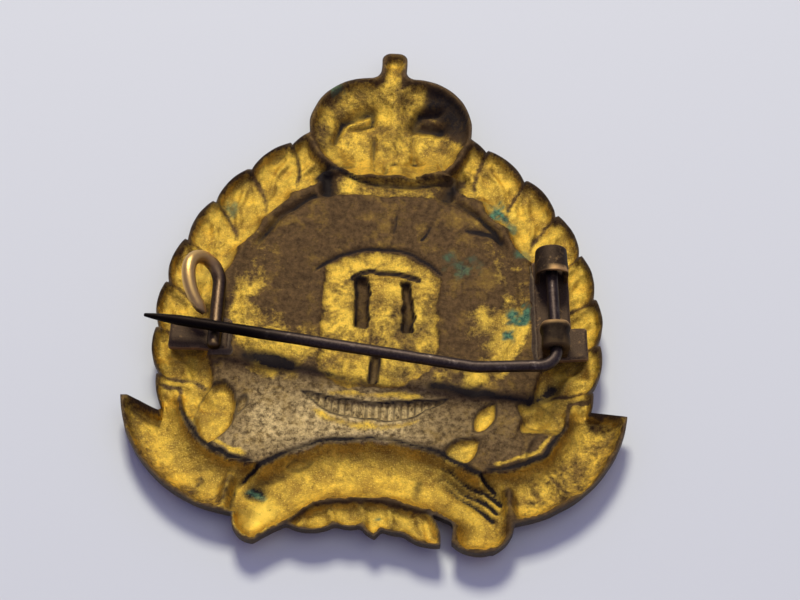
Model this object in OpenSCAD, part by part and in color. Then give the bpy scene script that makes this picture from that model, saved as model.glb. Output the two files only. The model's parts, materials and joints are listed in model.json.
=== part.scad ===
// Cap badge lying face down, with a brooch fitting on its back.
// The struck shell is a hollow sheet: every raised feature of the front is a pocket of the back.
// X runs across the badge, Y up to the crown, Z out of the back. Z = 0 is the front of the relief.

/* [Badge] */
// Width over the tips of the scroll
badge_w = 45; // [40:0.5:56]
// Height from the foot of the scroll to the top of the knob
badge_h = 52; // [46:0.5:64]
// Depth from the front of the relief to the flat of the back
badge_depth = 3; // [2.6:0.1:4]
// Thickness of the struck sheet
sheet_t = 0.8; // [0.6:0.05:1]

/* [Crown] */
// Radius of each half of the dome
dome_r = 5.6; // [4.8:0.1:6.8]
// Distance between the centres of the dome's halves
dome_gap = 4.1; // [3:0.1:5.5]
// Height of the band under the dome
band_h = 2.6; // [2:0.1:3.4]
// Width of the band under the dome
band_w = 12.6; // [10:0.1:15]
// Width of the knob on top
knob_w = 2.4; // [1.6:0.1:3.2]
// Height of the knob above the dome
knob_h = 2.9; // [2:0.1:3.8]
// Width of the rib down the middle of the dome
rib_w = 0.9; // [0.6:0.1:1.4]

/* [Wreath] */
// Leaves on each side
leaves = 8; // [7:1:9]
// Length of a leaf
leaf_l = 9; // [8:0.1:11]
// Width of a leaf
leaf_w = 4.6; // [3.8:0.1:5.6]
// Lean of a leaf from straight outward, in degrees
leaf_lean = 52; // [40:1:60]
// How far the scroll tips reach past the wreath
tip_reach = 2.5; // [1.5:0.1:4]

/* [Ring and device] */
// Outer radius of the ring
ring_r = 12.9; // [11:0.1:14]
// Outer radius of the ring's flat band
band_r = 10.7; // [9:0.1:10.9]
// Radius of the centre field
centre_r = 5.6; // [4.8:0.1:6.6]
// Width of the struck lines
line_w = 0.6; // [0.4:0.05:0.9]
// Width of a pillar of the device
pillar_w = 1.2; // [0.8:0.1:1.6]
// Height of a pillar of the device
pillar_h = 4.7; // [3.5:0.1:5.5]
// Distance between the pillars' centre lines
pillar_gap = 4.2; // [3.4:0.1:5]

/* [Scroll] */
// Height of the middle ribbon
ribbon_h = 6.2; // [5:0.1:7.4]
// Rise of the ribbon's arch
ribbon_rise = 4.6; // [3.5:0.1:5.6]
// Distance from the ribbon's end to the scroll tip
ribbon_in = 11; // [9.5:0.1:12]
// Outer radius of a side arm
arm_r = 12.2; // [11:0.1:13.5]
// Width of a side arm
arm_w = 5.3; // [4.4:0.1:6.2]

// Leaves hanging under the ribbon
sprays = 5; // [3:2:5]
// Radius of a hanging leaf
spray_r = 1.7; // [1.3:0.1:2]
// Distance between hanging leaves
spray_step = 2.5; // [2:0.1:2.8]

/* [Brooch pin] */
// Diameter of the pin wire
pin_d = 1.05; // [0.8:0.05:1.3]
// Centre-line radius of the bend beside the hinge
bend_r = 1.5; // [1.2:0.1:2.2]
// Length of the shank between the bend and the knee
shank_l = 5.1; // [3:0.1:7]
// Centre-line radius of the knee
knee_r = 6; // [3:0.5:10]
// How far the point reaches past the catch
point_over = 6.3; // [5:0.1:8]
// How far before the catch the wire is ground thinner
ground_in = 3; // [2.5:0.1:5]
// How much thinner it is ground
grind = 0.05; // [0.04:0.01:0.1]
// Length of the shoulder where the grinding starts
shoulder_l = 0.8; // [0.6:0.1:1.5]
// Length of the sharpened point
point_l = 4; // [2.5:0.1:5]
// Diameter at the very tip
point_d = 0.3; // [0.2:0.05:0.5]
// Radial running clearance of the pin in the knuckles
run_gap = 0.05; // [0.02:0.01:0.1]

/* [Hinge] */
// Distance from the scroll tip inward to the hinge
hinge_in = 6.9; // [6:0.1:8.5]
// Height of the hinge centre above the badge centre, negative when below
hinge_y = -1.9; // [-4:0.1:1]
// Turn of the hinge, in degrees
hinge_turn = 4.2; // [0:0.1:8]
// Thickness of the hinge and catch plates
plate_t = 0.5; // [0.4:0.05:0.8]
// Clear length of the axle between the knuckles
axle_clear = 5.4; // [4:0.1:6.5]
// Width of the hinge strip
strip_w = 3.2; // [2.6:0.1:4]
// Width of the pad under the lower knuckle
pad_w = 4.6; // [4:0.1:5.6]
// Outer radius of the upper knuckle
hood_r = 1.75; // [1.6:0.05:2]
// Length of the upper knuckle
hood_l = 2.4; // [2:0.1:3]
// Wall of the upper knuckle at its open mouth
hood_wall = 0.45; // [0.3:0.05:0.55]
// Outer radius of the lower knuckle
barrel_r = 1.35; // [1.2:0.05:1.6]
// Length of the lower knuckle
barrel_l = 2.4; // [2:0.1:3]

/* [Catch] */
// Distance from the scroll tip inward to the catch
catch_in = 8; // [7:0.1:9.5]
// Height of the crossing of pin and catch, negative when below the badge centre
catch_y = -6.1; // [-8:0.1:-4]
// Diameter of the hook wire
hook_d = 1.25; // [1:0.05:1.5]
// Centre-line radius of the hook's curl
curl_r = 1.9; // [1.6:0.1:2.3]
// Centre-line radius of the hook's upper arc
arc_r = 3.7; // [3.2:0.1:4.5]
// Turn of the hook's upper arc, in degrees
arc_a = 55; // [40:1:65]
// Length of the hook's foot outside the pin
foot_l = 1.25; // [1:0.1:1.8]
// Lean of the hook toward the edge, in degrees
hook_lean = 43; // [25:1:50]
// Length of the hook's tapered tip
tip_l = 0.8; // [0.5:0.1:1.2]
// Diameter of the hook at its tip
tip_d = 0.6; // [0.4:0.05:0.8]
// Width of the catch plate
catch_w = 5.4; // [4.5:0.1:6]
// Length of the catch plate
catch_l = 3.1; // [2.6:0.1:4]
// Gap under the resting pin
rest_gap = 0.08; // [0.05:0.01:0.15]
// Gap between the pin and the tip of the hook
mouth_gap = 0.25; // [0.15:0.05:0.5]

/* [Solder] */
// Width of the solder bead round a plate
bead_w = 0.45; // [0.3:0.05:0.7]
// Height of the solder bead
bead_h = 0.3; // [0.2:0.05:0.4]
// Width of the solder lump under the foot of the hook
lump_w = 1.5; // [1:0.1:2]
// Length of the solder lump under the foot of the hook
lump_l = 2.2; // [1.5:0.1:2.8]

/* [Hidden] */
$fn = 64;
eps = 0.01;
top_y = badge_h / 2;
foot_y = -badge_h / 2;
back_z = badge_depth;
field_z = back_z - sheet_t;

// Levels of the relief, as the height of each feature's front face.
crown_z = 0;
scroll_z = 0;
leaf_z = 0.5;
spray_z = 0.8;
centre_z = field_z - 0.4;
device_z = field_z - 1;
line_depth = 0.35;

// Crown, hung from the top.
crown_y = top_y - knob_h - dome_r;
band_y = crown_y - dome_r - band_h + 0.5;

// Scroll, set on the foot. The ribbon's two edges are arcs of one radius.
ribbon_x = badge_w / 2 - ribbon_in;
ribbon_r = (ribbon_x * ribbon_x + ribbon_rise * ribbon_rise) / (2 * ribbon_rise);
ribbon_low = foot_y + ribbon_rise - ribbon_r;
ribbon_top = foot_y + ribbon_rise + ribbon_h;
arm_tip_a = -5;
arm_end_a = -98;
arm_x = badge_w / 2 - arm_r * cos(arm_tip_a);
arm_y = foot_y + 2.8 + arm_r;

// Ring, seated above the ribbon.
ring_y = ribbon_top + 0.9 + ring_r;
lens_w = 11.4;
lens_h = 1.95;
lens_sag = 0.6;
lens_y = ring_y - band_r + 0.4;

// Wreath, an arc on each side from the scroll up to the crown.
wreath_x = badge_w / 2 - tip_reach;
wreath_y = foot_y + 21.15;
wreath_rise = crown_y + 1.6 - wreath_y;
wreath_r = (wreath_x * wreath_x + wreath_rise * wreath_rise) / (2 * wreath_x);
wreath_c = wreath_r - wreath_x;
leaf_r = (leaf_l * leaf_l + leaf_w * leaf_w) / (4 * leaf_w);
leaf_first_a = 67.3;
leaf_last_a = -11.8;
leaf_step_a = (leaf_first_a - leaf_last_a) / (leaves - 1);
field_in = leaf_w * 0.55;
field_first_a = 64;
field_end_a = -32;
field_steps = 14;

// Hinge frame: its origin is the middle of the axle, and local Y is the axle.
hinge_x = badge_w / 2 - hinge_in;
plate_z = back_z + plate_t;
axle_z = plate_z + hook_d + rest_gap + pin_d / 2;
hood_y = axle_clear / 2;
barrel_y = -axle_clear / 2 - barrel_l;
side_gap = 0.1;
axle_foot = -barrel_y + side_gap;
axle_top = hood_y + hood_l - 0.3;
mouth_l = hood_l * 0.45;
waist = 0.12;
swell = 0.03;
bed = 0.05;
seam = 0.3;

// Catch frame: its origin is the point where the pin crosses the hook's lower strand.
catch_x = -(badge_w / 2 - catch_in);
strand_z = plate_z + hook_d / 2;

// Pin: the knee turns the stem so that it passes the catch's origin.
to_catch = [catch_x - hinge_x, catch_y - hinge_y];
catch_local = [
    to_catch[0] * cos(hinge_turn) + to_catch[1] * sin(hinge_turn),
    to_catch[1] * cos(hinge_turn) - to_catch[0] * sin(hinge_turn)
];
shank_y = -axle_foot - bend_r;
knee = [-bend_r - shank_l, shank_y + knee_r];
knee_to_catch = catch_local - knee;
knee_span = norm(knee_to_catch);
knee_dir = atan2(knee_to_catch[1], knee_to_catch[0]);
knee_a = -90 - (knee_dir > 0 ? knee_dir - 360 : knee_dir) - acos(knee_r / knee_span);
ground_d = pin_d - grind;
ground_l = ground_in + point_over - point_l;
stem_l = sqrt(knee_span * knee_span - knee_r * knee_r) - ground_in;
stem_a = knee_a - hinge_turn;

// Hook: its tip stops beside the path of the pin, which slants toward it.
slant = 2 * curl_r * sin(hook_lean) * tan(stem_a);
tip_y = (pin_d / 2 + mouth_gap + tip_d / 2) / cos(stem_a) + slant;
curl_y = tip_y + arc_r * sin(arc_a) + tip_l * cos(arc_a);

// ---------------------------------------------------------------- outlines of the relief

module both_sides() {
    children();
    mirror([1, 0, 0]) children();
}

module dome_2d(inset) {
    both_sides() translate([dome_gap / 2, crown_y]) circle(dome_r - inset);
    translate([0, crown_y]) square([dome_gap, 2 * (dome_r - inset - waist)], center = true);
}

module band_2d(inset) {
    translate([-band_w / 2 + inset, band_y + inset]) square([band_w - 2 * inset, band_h - 2 * inset]);
}

module knob_2d() {
    translate([-knob_w / 2, crown_y + dome_r / 2]) square([knob_w, dome_r / 2 + knob_h]);
}

module leaf_2d(inset) {
    intersection_for(side = [-1, 1])
        translate([-leaf_l / 2, side * (leaf_r - leaf_w / 2)]) circle(leaf_r - inset);
}

module wreath_2d(inset) {
    both_sides() for (i = [0 : leaves - 1]) {
        a = leaf_first_a - leaf_step_a * i;
        translate([-wreath_c + wreath_r * cos(a), wreath_y + wreath_r * sin(a)])
            rotate(a + leaf_lean) leaf_2d(inset);
    }
}

module ribbon_2d(inset) {
    difference() {
        intersection() {
            translate([0, ribbon_low + ribbon_h]) circle(ribbon_r - inset);
            translate([-ribbon_x + inset, foot_y]) square([2 * (ribbon_x - inset), ribbon_rise + ribbon_h]);
        }
        translate([0, ribbon_low]) circle(ribbon_r + inset);
    }
}

module arm_2d(inset) {
    end_a = asin(inset / (arm_r - arm_w));
    from_a = arm_end_a + end_a;
    to_a = arm_tip_a - end_a;
    mid_a = (from_a + to_a) / 2;
    far = 2 * arm_r;
    both_sides() translate([arm_x, arm_y]) intersection() {
        difference() {
            circle(arm_r - inset);
            circle(arm_r - arm_w + inset);
        }
        polygon([
            [0, 0],
            [far * cos(from_a), far * sin(from_a)],
            [far * cos(mid_a), far * sin(mid_a)],
            [far * cos(to_a), far * sin(to_a)]
        ]);
    }
}

// Leaves that hang from the ribbon's lower edge.
module sprays_2d(inset) {
    for (i = [-(sprays - 1) / 2 : (sprays - 1) / 2]) {
        x = i * spray_step;
        translate([x, ribbon_low + sqrt(ribbon_r * ribbon_r - x * x) - spray_r / 2]) circle(spray_r - inset);
    }
}

module lens_2d() {
    out_r = (lens_w * lens_w / 4 + lens_h * lens_h) / (2 * lens_h);
    in_r = (lens_w * lens_w / 4 + lens_sag * lens_sag) / (2 * lens_sag);
    difference() {
        translate([0, lens_y - lens_h + out_r]) circle(out_r);
        translate([0, lens_y - lens_sag + in_r]) circle(in_r);
    }
}

// The flat ground between the features.
module field_2d() {
    edge = wreath_r - field_in;
    right = [for (i = [0 : field_steps])
        let (a = field_first_a + (field_end_a - field_first_a) * i / field_steps)
        [-wreath_c + edge * cos(a), wreath_y + edge * sin(a)]];
    left = [for (i = [0 : field_steps]) [-right[field_steps - i][0], right[field_steps - i][1]]];
    polygon(concat(right, left));
    both_sides() translate([arm_x, arm_y]) circle(arm_r - arm_w + line_w);
}

module outline_2d() {
    dome_2d(0);
    band_2d(0);
    knob_2d();
    field_2d();
    wreath_2d(0);
    ribbon_2d(0);
    arm_2d(0);
    sprays_2d(0);
}

module ring_line_2d(r) {
    translate([0, ring_y]) difference() {
        circle(r + line_w / 2);
        circle(r - line_w / 2);
    }
}

module device_2d(inset) {
    both_sides() translate([pillar_gap / 2 - pillar_w / 2 + inset, ring_y - 2.3 + inset])
        square([pillar_w - 2 * inset, pillar_h - 2 * inset]);
    translate([-0.8 + inset, ring_y - centre_r - 2.4 + inset]) square([1.6 - 2 * inset, 2.8 - 2 * inset]);
}

// ---------------------------------------------------------------- struck shell

module raise(z) {
    translate([0, 0, z]) linear_extrude(back_z - z - eps) children();
}

module sink(z) {
    translate([0, 0, z + sheet_t]) linear_extrude(back_z) children();
}

module badge_shell() {
    color("darkgoldenrod") difference() {
        union() {
            translate([0, 0, field_z]) linear_extrude(sheet_t) outline_2d();
            raise(crown_z) dome_2d(0);
            raise(crown_z) knob_2d();
            raise(leaf_z) band_2d(0);
            raise(leaf_z) wreath_2d(0);
            raise(scroll_z) ribbon_2d(0);
            raise(scroll_z) arm_2d(0);
            raise(spray_z) sprays_2d(0);
            raise(centre_z) translate([0, ring_y]) circle(centre_r);
            raise(device_z) device_2d(0);
        }
        difference() {
            sink(crown_z) dome_2d(sheet_t);
            translate([-rib_w / 2, crown_y - dome_r, 0]) cube([rib_w, 2 * dome_r, field_z]);
        }
        sink(leaf_z) band_2d(sheet_t);
        sink(leaf_z) wreath_2d(sheet_t);
        sink(scroll_z) ribbon_2d(sheet_t);
        sink(scroll_z) arm_2d(sheet_t);
        sink(centre_z) translate([0, ring_y]) circle(centre_r - line_w / 2);
        sink(device_z) device_2d(0.15);
        translate([0, 0, back_z - line_depth]) linear_extrude(1) ring_line_2d(ring_r);
        translate([0, 0, back_z - line_depth]) linear_extrude(1) lens_2d();
    }
}

// ---------------------------------------------------------------- hinge

module in_hinge() {
    translate([hinge_x, hinge_y, 0]) rotate(hinge_turn) children();
}

module along_axle(y, l, r) {
    translate([0, y, axle_z]) rotate([-90, 0, 0]) cylinder(h = l, r = r);
}

module hinge_footprint(grow) {
    translate([-strip_w / 2 - grow, barrel_y - grow])
        square([strip_w + 2 * grow, hood_y + hood_l - barrel_y + 2 * grow]);
    translate([-strip_w / 2 - grow, barrel_y - grow])
        square([pad_w + 2 * grow, barrel_l + 0.8 + 2 * grow]);
}

module hinge_plate() {
    color("saddlebrown") in_hinge()
        translate([0, 0, back_z]) linear_extrude(plate_t) hinge_footprint(0);
}

module upper_knuckle() {
    leg_w = 2 * hood_r - 2 * waist;
    mouth_r = hood_r - hood_wall;
    color("peru") in_hinge() difference() {
        union() {
            along_axle(hood_y, hood_l, hood_r);
            translate([-leg_w / 2, hood_y, plate_z]) cube([leg_w, hood_l, axle_z - plate_z]);
        }
        translate([-hood_r, hood_y - 1, 0]) cube([2 * hood_r, hood_l + 2, plate_z]);
        along_axle(hood_y - 1, hood_l + 2, pin_d / 2 + run_gap);
        along_axle(hood_y - 1, mouth_l + 1, mouth_r);
    }
}

module lower_knuckle() {
    leg_w = 2 * barrel_r - 4 * waist;
    color("peru") in_hinge() difference() {
        union() {
            along_axle(barrel_y, barrel_l, barrel_r);
            translate([-leg_w / 2, barrel_y, plate_z]) cube([leg_w, barrel_l, axle_z - plate_z]);
        }
        along_axle(barrel_y - 1, barrel_l + 2, pin_d / 2 + run_gap);
    }
}

// An arc of wire about the origin. A formed bend is a hair thicker than straight wire.
module bend(r, a, d) {
    rotate_extrude(angle = a) translate([r, 0]) circle(d = d + swell);
}

// Straight wire along Y from y = 0 downward, with its first end bedded in a bend.
module wire_down(l, d) {
    translate([0, bed, 0]) rotate([90, 0, 0]) cylinder(h = l + bed, d = d);
}

// Full wire up to a shoulder, then wire ground thinner, then the sharpened point.
module stem() {
    ground_end = stem_l + ground_l;
    tip = ground_end + point_l;
    rotate([90, 0, 0]) rotate_extrude() polygon([
        [0, -bed],
        [pin_d / 2, -bed],
        [pin_d / 2, stem_l],
        [ground_d / 2, stem_l + shoulder_l],
        [ground_d / 2, ground_end],
        [point_d / 2, tip],
        [0, tip]
    ]);
}

module brooch_pin() {
    color("dimgray") in_hinge() {
        along_axle(-axle_foot - bed, axle_foot + axle_top + bed, pin_d / 2);
        translate([-bend_r, -axle_foot, axle_z]) rotate(-90) {
            bend(bend_r, 90, pin_d);
            translate([bend_r, 0, 0]) wire_down(shank_l + bed, pin_d);
        }
        translate([knee[0], knee[1], axle_z]) rotate(-90 - knee_a) {
            bend(knee_r, knee_a, pin_d);
            translate([knee_r, 0, 0]) stem();
        }
    }
}

// ---------------------------------------------------------------- catch

module in_catch() {
    translate([catch_x, catch_y, 0]) children();
}

module catch_footprint(grow) {
    translate([hook_d - catch_w - grow, -foot_l - grow])
        square([catch_w + 2 * grow, catch_l + 2 * grow]);
}

module catch_plate() {
    color("saddlebrown") in_catch()
        translate([0, 0, back_z]) linear_extrude(plate_t) catch_footprint(0);
}

// The hook lies in a leaning plane, drawn here with X up the lean and Y along the badge.
module catch_hook() {
    color("peru") in_catch() translate([0, 0, strand_z]) {
        translate([0, -foot_l, 0]) rotate([-90, 0, 0]) cylinder(h = foot_l + curl_y + bed, d = hook_d);
        rotate([0, -90 - hook_lean, 0]) {
            translate([curl_r, curl_y, 0]) bend(curl_r, 180, hook_d);
            translate([2 * curl_r - arc_r, curl_y, 0]) rotate(-arc_a) {
                bend(arc_r, arc_a + 1, hook_d - swell);
                translate([arc_r, 0, 0]) rotate([90, 0, 0])
                    translate([0, 0, -bed]) cylinder(h = tip_l + bed, d1 = hook_d - swell, d2 = tip_d);
            }
        }
    }
}

// ---------------------------------------------------------------- solder

module hinge_solder() {
    color("gray") in_hinge() translate([0, 0, back_z]) linear_extrude(bead_h) difference() {
        hinge_footprint(bead_w);
        hinge_footprint(0);
    }
}

// The bead round the plate, and the lump that beds the foot of the hook.
module catch_solder() {
    color("gray") in_catch() difference() {
        union() {
            translate([0, 0, back_z]) linear_extrude(bead_h) catch_footprint(bead_w);
            translate([-lump_w / 2, -foot_l - bead_w, back_z]) cube([lump_w, lump_l, plate_t + bead_h]);
        }
        translate([0, 0, back_z - 1]) linear_extrude(plate_t + 1) catch_footprint(0);
        translate([0, -foot_l, strand_z]) rotate([-90, 0, 0]) cylinder(h = foot_l + curl_y, d = hook_d);
        translate([-seam / 2, -foot_l, plate_z - eps]) cube([seam, foot_l + curl_y, hook_d / 2]);
    }
}

badge_shell();
hinge_plate();
upper_knuckle();
lower_knuckle();
brooch_pin();
catch_plate();
catch_hook();
hinge_solder();
catch_solder();
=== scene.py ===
import json
import math

import bmesh
import bpy
import numpy as np
from bpy.props import FloatProperty, FloatVectorProperty, PointerProperty
from mathutils import Matrix, Vector


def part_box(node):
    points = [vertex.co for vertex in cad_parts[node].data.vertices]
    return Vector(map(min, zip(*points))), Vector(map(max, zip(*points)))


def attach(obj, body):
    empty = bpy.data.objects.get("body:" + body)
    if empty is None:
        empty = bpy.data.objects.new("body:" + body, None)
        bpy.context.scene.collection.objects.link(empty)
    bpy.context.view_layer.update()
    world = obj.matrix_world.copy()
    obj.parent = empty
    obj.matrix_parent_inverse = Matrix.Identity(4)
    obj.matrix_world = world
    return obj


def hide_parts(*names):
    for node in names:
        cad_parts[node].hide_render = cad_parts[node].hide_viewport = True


bl_info = {
    "name": "Cap badge with a brooch pin",
    "version": (1, 0, 0),
    "blender": (4, 5, 0),
    "location": "3D View > Sidebar > Badge",
    "description": "Builds a struck brass badge, its brooch fitting and the stage it lies on",
    "category": "Object",
}

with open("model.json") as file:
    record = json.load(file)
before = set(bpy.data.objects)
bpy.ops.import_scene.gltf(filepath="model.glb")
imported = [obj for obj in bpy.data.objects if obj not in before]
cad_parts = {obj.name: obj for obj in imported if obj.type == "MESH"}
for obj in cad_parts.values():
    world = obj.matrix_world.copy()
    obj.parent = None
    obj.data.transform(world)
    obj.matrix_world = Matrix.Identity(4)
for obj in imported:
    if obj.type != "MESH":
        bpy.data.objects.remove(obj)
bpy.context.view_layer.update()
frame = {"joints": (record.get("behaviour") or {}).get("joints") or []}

MM = 0.001
BADGE_BODY = "badge"
PIN_BODY = "pin"

# ---- the badge's own measures, in millimetres

SHELL_LOW, SHELL_HIGH = [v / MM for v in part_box("badge_shell")]
HALF_W = SHELL_HIGH.x
TOP_Y = SHELL_HIGH.y
FOOT_Y = SHELL_LOW.y
BACK_Z = SHELL_HIGH.z

DOME_R, DOME_GAP, CROWN_Y = 5.6, 4.1, 17.5
BAND_W, BAND_H, BAND_Y = 12.6, 2.6, 9.8
KNOB_W, KNOB_BLEND = 2.4, 1.1
RING_Y, RING_R, CENTRE_R = -1.4, 12.9, 5.6
FIELD_X, FIELD_Y, FIELD_R = -0.3, -3.4, 7.3
LEAVES, LEAF_L, LEAF_W, LEAF_LEAN, LEAF_FIRST, LEAF_STEP = 8, 9.0, 4.6, 52.0, 56.0, 11.3
WREATH_X, WREATH_Y, WREATH_R = 4.34, -4.85, 24.34
LENS_TOP, LENS_LOW, HATCH_PITCH = (0.0, 15.45, 27.3), (0.0, -4.35, 9.3), 0.62
RIBBON_R, RIBBON_H, RIBBON_LOW = 16.675, 6.2, -38.075
ARM_X, ARM_Y, ARM_R, ARM_W, ARM_FROM, ARM_TO = 10.35, -11.0, 12.2, 5.3, -98.0, -5.0
# over 1 the gilding mask paints a highlight; this is its top
MOST_GILT_AND_HIGHLIGHT = 1.5
JOINT = frame["joints"][0]
HINGE = Vector(JOINT["pos_m"]) / MM
HINGE_TURN = math.degrees(math.atan2(-JOINT["axis"][0], JOINT["axis"][1]))
PLATE_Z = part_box("hinge_plate")[1].z / MM
AXLE_R, AXLE_TOP, AXLE_FOOT = 0.525, 4.8, -5.2
BEND_R, SHANK_L, KNEE_R, KNEE_TURN = 1.5, 5.1, 6.0, 11.528
STEM_L, POINT_L = 25.3, 4.0
HOOD_Y, HOOD_L, HOOD_R, HOOD_WALL, PLUG_R = 2.7, 2.4, 1.75, 0.42, 1.22
BARREL_Y, BARREL_L, BARREL_R = -5.1, 2.4, 1.35
CATCH_X, CATCH_Y, STRAND_Z = -14.5, -6.1, 4.125
# each plate's centre, half width, half height and corner radius
HINGE_STRIP, HINGE_PAD = (0.0, 0.0, 1.6, 5.1, 0.25), (0.7, -3.5, 2.3, 1.6, 0.3)
CATCH_STRIP = (CATCH_X - 1.45, CATCH_Y + 0.3, 2.7, 1.55, 0.25)
# how finely the fitting is cut
HOOD_CUTS, WIRE_SIDES, PLATE_CELL, BEAD_CELL = 8, 24, 0.09, 0.1
HOOK_R, HOOK_FOOT, HOOK_LEAN, CURL_Y, CURL_R = 0.625, -1.25, 43.0, 4.907, 1.9
HOOK_ARC_R, HOOK_ARC = 3.7, 55.0
HOOK_TIP_L, HOOK_TIP_R = 0.8, 0.3
SPRAY_LEAVES = (
    (-4.4, -22.9, 12.0, 5.2, 2.2), (-1.6, -22.5, -8.0, 4.0, 2.2), (0.4, -22.6, -80.0, 3.6, 1.8),
    (2.2, -22.7, -20.0, 4.6, 2.4), (4.3, -23.3, -42.0, 5.0, 2.3),
)


# ---- plane geometry on whole arrays of points

def step(low, high, value):
    """A smooth rise from 0 at low to 1 at high."""
    t = np.clip((value - low) / (high - low), 0.0, 1.0)
    return t * t * (3.0 - 2.0 * t)


def bump(value, width):
    """A bell of height 1 round zero."""
    return np.exp(-(value / width) ** 2)


def turned(x, y, cx, cy, degrees):
    """The points in a frame at (cx, cy) whose X axis is turned by so many degrees."""
    c, s = math.cos(math.radians(degrees)), math.sin(math.radians(degrees))
    return (x - cx) * c + (y - cy) * s, (y - cy) * c - (x - cx) * s


def disc(x, y, cx, cy, r):
    return np.hypot(x - cx, y - cy) - r


def block(x, y, cx, cy, half_w, half_h, corner=0.0):
    dx = np.abs(x - cx) - half_w + corner
    dy = np.abs(y - cy) - half_h + corner
    outside = np.hypot(np.maximum(dx, 0.0), np.maximum(dy, 0.0))
    return outside + np.minimum(np.maximum(dx, dy), 0.0) - corner


def almond(u, v, length, width):
    """Where two circles overlap: a leaf that lies along u."""
    r = (length * length + width * width) / (4.0 * width)
    shift = r - width / 2.0
    return np.maximum(np.hypot(u, v - shift), np.hypot(u, v + shift)) - r


def blend_min(a, b, soft):
    h = np.clip(0.5 + 0.5 * (b - a) / soft, 0.0, 1.0)
    return b + (a - b) * h - soft * h * (1.0 - h)


def segment(x, y, ax, ay, bx, by):
    """The distance to the straight line between two points, and how far along it, from 0 to 1."""
    dx, dy = bx - ax, by - ay
    t = np.clip(((x - ax) * dx + (y - ay) * dy) / (dx * dx + dy * dy), 0.0, 1.0)
    return np.hypot(x - ax - t * dx, y - ay - t * dy), t


def value_noise(x, y, size, seed):
    """Smooth noise from -1 to 1 on a lattice of the given size, the same on every run."""
    table = np.random.RandomState(seed).uniform(-1.0, 1.0, (64, 64))
    u, v = x / size, y / size
    iu, iv = np.floor(u).astype(int), np.floor(v).astype(int)
    fu, fv = u - iu, v - iv
    fu, fv = fu * fu * (3 - 2 * fu), fv * fv * (3 - 2 * fv)
    a, b = table[iu % 64, iv % 64], table[(iu + 1) % 64, iv % 64]
    c, d = table[iu % 64, (iv + 1) % 64], table[(iu + 1) % 64, (iv + 1) % 64]
    return (a * (1 - fu) + b * fu) * (1 - fv) + (c * (1 - fu) + d * fu) * fv


def cloud(x, y, size, seed, octaves=3):
    total, weight, norm = 0.0, 1.0, 0.0
    for k in range(octaves):
        total = total + weight * value_noise(x, y, size / 2 ** k, seed + 17 * k)
        norm += weight
        weight *= 0.5
    return total / norm


# ---- outlines of the struck features

def dome(x, y):
    ax = np.abs(x)
    inner = block(x, y, 0.0, CROWN_Y, DOME_GAP / 2, DOME_R)
    return np.minimum(disc(ax, y, DOME_GAP / 2, CROWN_Y, DOME_R), inner)


def band(x, y):
    return block(x, y, 0.0, BAND_Y + BAND_H / 2, BAND_W / 2, BAND_H / 2, 0.3)


def knob(x, y):
    return block(x, y, 0.0, TOP_Y - 2.9, KNOB_W / 2, 2.9, 0.85)


def leaf_layers(x, y):
    """Each leaf's distance field, and the measures along and across it. Number -1 is the top one."""
    for i in range(-1, LEAVES - 1):
        a = LEAF_FIRST - LEAF_STEP * i
        c, s = math.cos(math.radians(a)), math.sin(math.radians(a))
        u, v = turned(np.abs(x), y, WREATH_R * c - WREATH_X, WREATH_R * s + WREATH_Y, a + LEAF_LEAN)
        u = u + LEAF_L / 2
        yield i, almond(u, v, LEAF_L, LEAF_W), u, v


def ribbon(x, y):
    upper = disc(x, y, 0.0, RIBBON_LOW + RIBBON_H, RIBBON_R)
    lower = -disc(x, y, 0.0, RIBBON_LOW, RIBBON_R) - 0.95 * step(-3.5, -7.5, x)
    left_end = -x - 11.8 + 0.13 * (y + 24.0)
    left_end = np.where((x < -9.6) & (y < -23.55), disc(x, y, -9.6, -23.55, 2.1), left_end)
    lobe = disc(x, y, 9.7, -22.95, 3.0)
    right_end = np.where((x > 9.7) & (y < -22.95), lobe, x - 12.7)
    strip = np.maximum.reduce([upper, lower, left_end, right_end])
    return blend_min(strip, np.maximum(lobe, 7.5 - x), 0.4)


def arm_arc(x, y, end):
    """The part of a ring that an arm fills up to an end angle, with the ring itself and its radius."""
    r = np.hypot(np.abs(x) - ARM_X, y - ARM_Y)
    ring = np.abs(r - ARM_R + ARM_W / 2) - ARM_W / 2
    _, past_end = turned(np.abs(x), y, ARM_X, ARM_Y, end)
    _, past_start = turned(np.abs(x), y, ARM_X, ARM_Y, ARM_FROM)
    return np.maximum.reduce([ring, past_end, -past_start]), ring, r


def arm(x, y):
    left_end = 0.44 * (22.45 + x) + 0.90 * (y + 11.75)
    return np.maximum(arm_arc(x, y, ARM_TO)[0], np.where(x < -18.9, left_end, -ARM_W))


def sprays(x, y):
    """The ends of the leaves that hang out under the ribbon, uneven in size and lean."""
    joined = x * 0.0 + HALF_W
    for sx, sy, lean, length, width in SPRAY_LEAVES:
        joined = blend_min(joined, almond(*turned(x, y, sx, sy, lean), length, width) - 0.35, 0.35)
    return joined


def ground(x, y):
    """The flat field between the features."""
    ax = np.abs(x)
    inside = disc(ax, y, -WREATH_X, WREATH_Y, WREATH_R - 2.5)
    field = np.maximum.reduce([inside, -y - 20.0, y - 18.0])
    return np.minimum(field, disc(ax, y, ARM_X, ARM_Y, ARM_R - ARM_W + 0.6))


def outline(x, y):
    shape = blend_min(dome(x, y), knob(x, y), KNOB_BLEND)
    foot = blend_min(ribbon(x, y), sprays(x, y), 0.3)
    leaves = [leaf[1] for leaf in leaf_layers(x, y)]
    shape = np.minimum.reduce([shape, band(x, y), *leaves, foot, arm(x, y), ground(x, y)])
    return shape + 0.05 * cloud(x, y, 1.3, 5, 2)


# ---- heights and finishes of the struck sheet

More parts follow.
